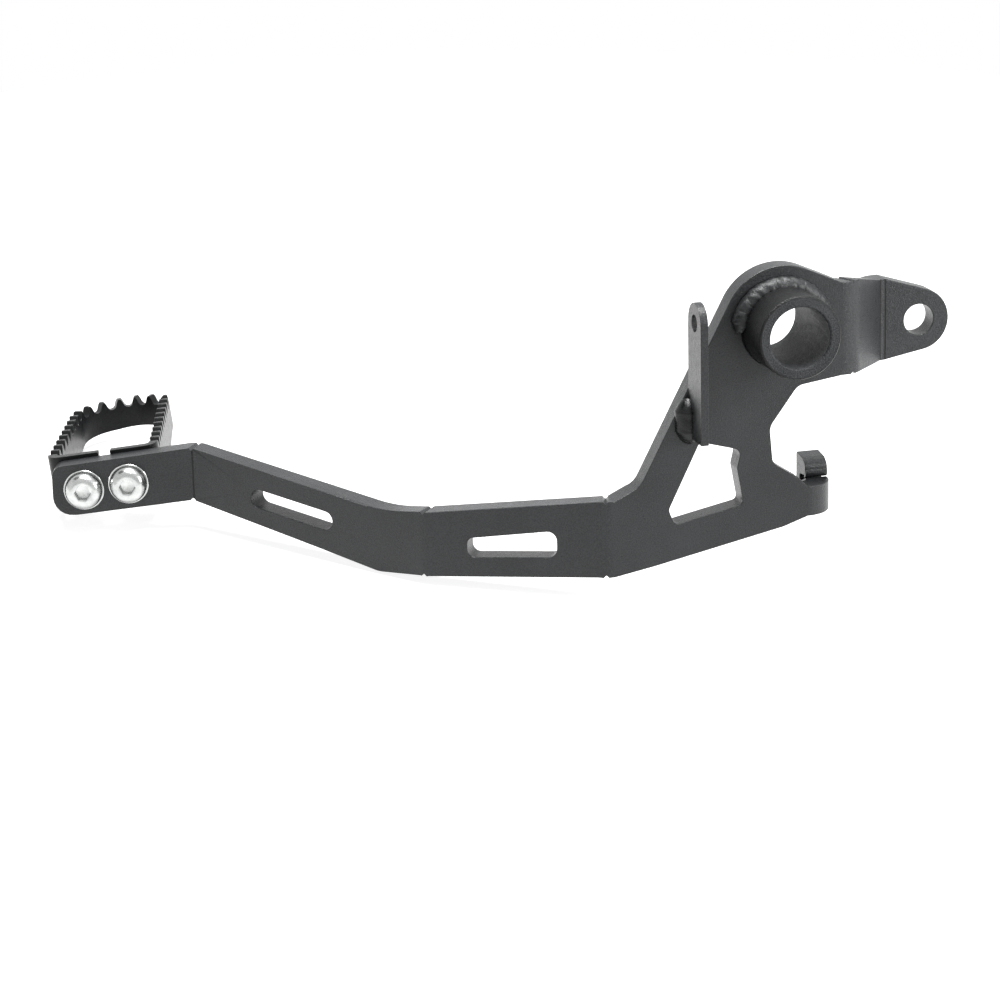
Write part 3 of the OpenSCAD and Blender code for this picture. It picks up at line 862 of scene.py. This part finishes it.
def makeThread(name, s, bar, place):
    start = bar["plate"] + bar["ear"] + bar["nut"] - s["threadInNut"]
    values = {
        "Core radius": (s["shank"] / 2 - s["threadDepth"]) * millimetre,
        "Crest radius": s["shank"] / 2 * millimetre,
        "Pitch": s["thread"] * millimetre,
        "Length": (s["threadInNut"] + s["proud"] - s["threadEnd"]) * millimetre,
        "Finish": zinc,
    }
    lift = Matrix.Translation((0, 0, start * millimetre))
    return fromNodes(name, screwThread, [(0, 0, 0), (0, 0, millimetre)], values, place @ lift)


def fitFastener(end):
    nut = "cleat_nut_" + end
    screw = "cleat_screw_" + end
    place = seatPlace(nut, barSettings)
    head = solidFrom(screw + "_head", headBuilder(screwSettings), place)
    shank = solidFrom(screw + "_shank", shankBuilder(screwSettings, barSettings), place)
    thread = makeThread(screw + "_thread", screwSettings, barSettings, place)
    nutPiece = solidFrom(nut + "_hex", nutBuilder(nutSettings, barSettings), place)
    for piece in (head, shank, nutPiece):
        piece.data.materials.append(zinc)
        smoothByAngle(piece)
    for piece in (head, shank, thread, nutPiece):
        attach(piece, "root")
    for piece in (head, shank, thread):
        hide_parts(screw)
    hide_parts(nut)


for end in ("front", "rear"):
    fitFastener(end)
print("stage: fasteners")


# lip that curls down from the finger of the spring hook and closes it to the front, in mm
lipSettings = {
    "left": 9.04,
    "right": 14.96,
    "smoothUnder": 40,
    "outline": [
        (8.0, -39.9), (7.72, -40.7), (7.66, -41.4), (7.8, -42.0), (8.06, -42.4), (8.5, -42.62),
        (8.72, -42.3), (8.62, -41.9), (8.5, -41.4), (8.45, -40.6), (8.4, -39.9),
    ],
}


def hookLip(s):
    def build(shape):
        ends = []
        for x in (s["left"], s["right"]):
            ends.append([shape.verts.new(Vector((x, y, z)) * millimetre) for y, z in s["outline"]])
        count = len(s["outline"])
        for k in range(count):
            n = (k + 1) % count
            shape.faces.new((ends[0][k], ends[0][n], ends[1][n], ends[1][k]))
        shape.faces.new(ends[0])
        shape.faces.new(ends[1])

    piece = solidFrom("lever_plate_hook_lip", build)
    piece.data.materials.append(coat)
    smoothByAngle(piece, s["smoothUnder"])
    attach(piece, "root")


hookLip(lipSettings)
print("stage: lip of the hook")


# floor, surroundings, lamps and cards in metres, watts and degrees
floorSettings = {
    "tilt": 24.0,
    "gap": 0.0002,
    "reach": 0.42,
    "corners": 96,
    "colour": (0.36, 0.36, 0.36, 1),
    "roughness": 0.9,
    "glow": 0.89,
    "paperScale": 900.0,
    "paperHeight": 0.00001,
}

worldSettings = {"light": 0.12}

lampSettings = {
    "overhead": {"size": 0.6, "power": 32.0, "from": (0.04, -0.07, 1.0)},
    "right": {"size": 0.2, "power": 1.7, "from": (0.35, -0.30, 0.15)},
}

# dark cards that only show as reflections, as the unlit parts of a studio do
cardColour = (0.01, 0.01, 0.01, 1)
cardSettings = {
    "left": {"size": 0.44, "from": (-0.44, 0.04, 0.72)},
    "right": {"size": 0.30, "from": (0.32, 0.04, 0.78)},
}


def seenDirectly(tree):
    path = addNode(tree, "ShaderNodeLightPath").outputs
    seen = mathNode(tree, "MAXIMUM", path["Is Camera Ray"], path["Is Glossy Ray"])
    return mathNode(tree, "MAXIMUM", seen, path["Is Transmission Ray"])


def floorPaper(s):
    material, shader = newMaterial("floorPaper")
    tree = material.node_tree
    paper = noiseOf(tree, objectPlace(tree), s["paperScale"])
    tree.links.new(bumpNode(tree, paper, s["paperHeight"]), shader.inputs["Normal"])
    shader.inputs["Base Color"].default_value = s["colour"]
    shader.inputs["Roughness"].default_value = s["roughness"]
    strength = times(tree, seenDirectly(tree), s["glow"])
    glow = addNode(tree, "ShaderNodeEmission", {"Color": (1, 1, 1, 1), "Strength": strength})
    both = addNode(tree, "ShaderNodeAddShader", {0: shader.outputs[0], 1: glow.outputs[0]})
    tree.links.new(both.outputs[0], tree.nodes["Material Output"].inputs["Surface"])
    return material


def makeFloor(s):
    right, above, ahead = cameraAxes(dict(cameraSettings, roll=0))
    tilt = math.radians(s["tilt"])
    up = (math.cos(tilt) * above - math.sin(tilt) * ahead).normalized()
    lowest = min(v.co.dot(up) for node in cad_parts.values() for v in node.data.vertices)
    centre = middle(cadBox)
    foot = centre + up * (lowest - s["gap"] - centre.dot(up))
    turn = Matrix((right, up.cross(right), up)).transposed().to_4x4()

    def build(shape):
        bmesh.ops.create_circle(shape, cap_ends=True, segments=s["corners"], radius=s["reach"])

    floor = solidFrom("floor", build, Matrix.Translation(foot) @ turn)
    floor.data.materials.append(floorPaper(s))


def makeCards(cards):
    material, shader = newMaterial("darkCard")
    shader.inputs["Base Color"].default_value = cardColour
    shader.inputs["Roughness"].default_value = 1.0
    centre = middle(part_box("cleat_screw_rear"))
    for name, s in cards.items():
        away = Vector(s["from"])
        turn = away.to_track_quat("Z", "Y").to_matrix().to_4x4()

        def build(shape):
            bmesh.ops.create_grid(shape, x_segments=1, y_segments=1, size=s["size"] / 2)

        card = solidFrom(name + "Card", build, Matrix.Translation(centre + away) @ turn)
        card.data.materials.append(material)
        card.visible_camera = False
        card.visible_diffuse = False
        card.visible_shadow = False
        card.visible_transmission = False


def makeWorld(s):
    world = bpy.data.worlds.new("surroundings")
    world.use_nodes = True
    bpy.context.scene.world = world
    tree = world.node_tree
    strength = plus(tree, times(tree, seenDirectly(tree), 1.0 - s["light"]), s["light"])
    background = tree.nodes["Background"]
    background.inputs["Color"].default_value = (1, 1, 1, 1)
    tree.links.new(strength, background.inputs["Strength"])


def makeLamps(lamps):
    centre = middle(cadBox)
    for name, s in lamps.items():
        data = bpy.data.lights.new(name, "AREA")
        data.shape = "SQUARE"
        data.size = s["size"]
        data.energy = s["power"]
        lamp = bpy.data.objects.new(name, data)
        lamp.location = centre + Vector(s["from"])
        lamp.rotation_mode = "QUATERNION"
        lamp.rotation_quaternion = (-Vector(s["from"])).to_track_quat("-Z", "Y")
        bpy.context.scene.collection.objects.link(lamp)


makeFloor(floorSettings)
makeCards(cardSettings)
makeWorld(worldSettings)
makeLamps(lampSettings)
bpy.context.scene.view_settings.view_transform = "Standard"
print("stage: floor and lamps")
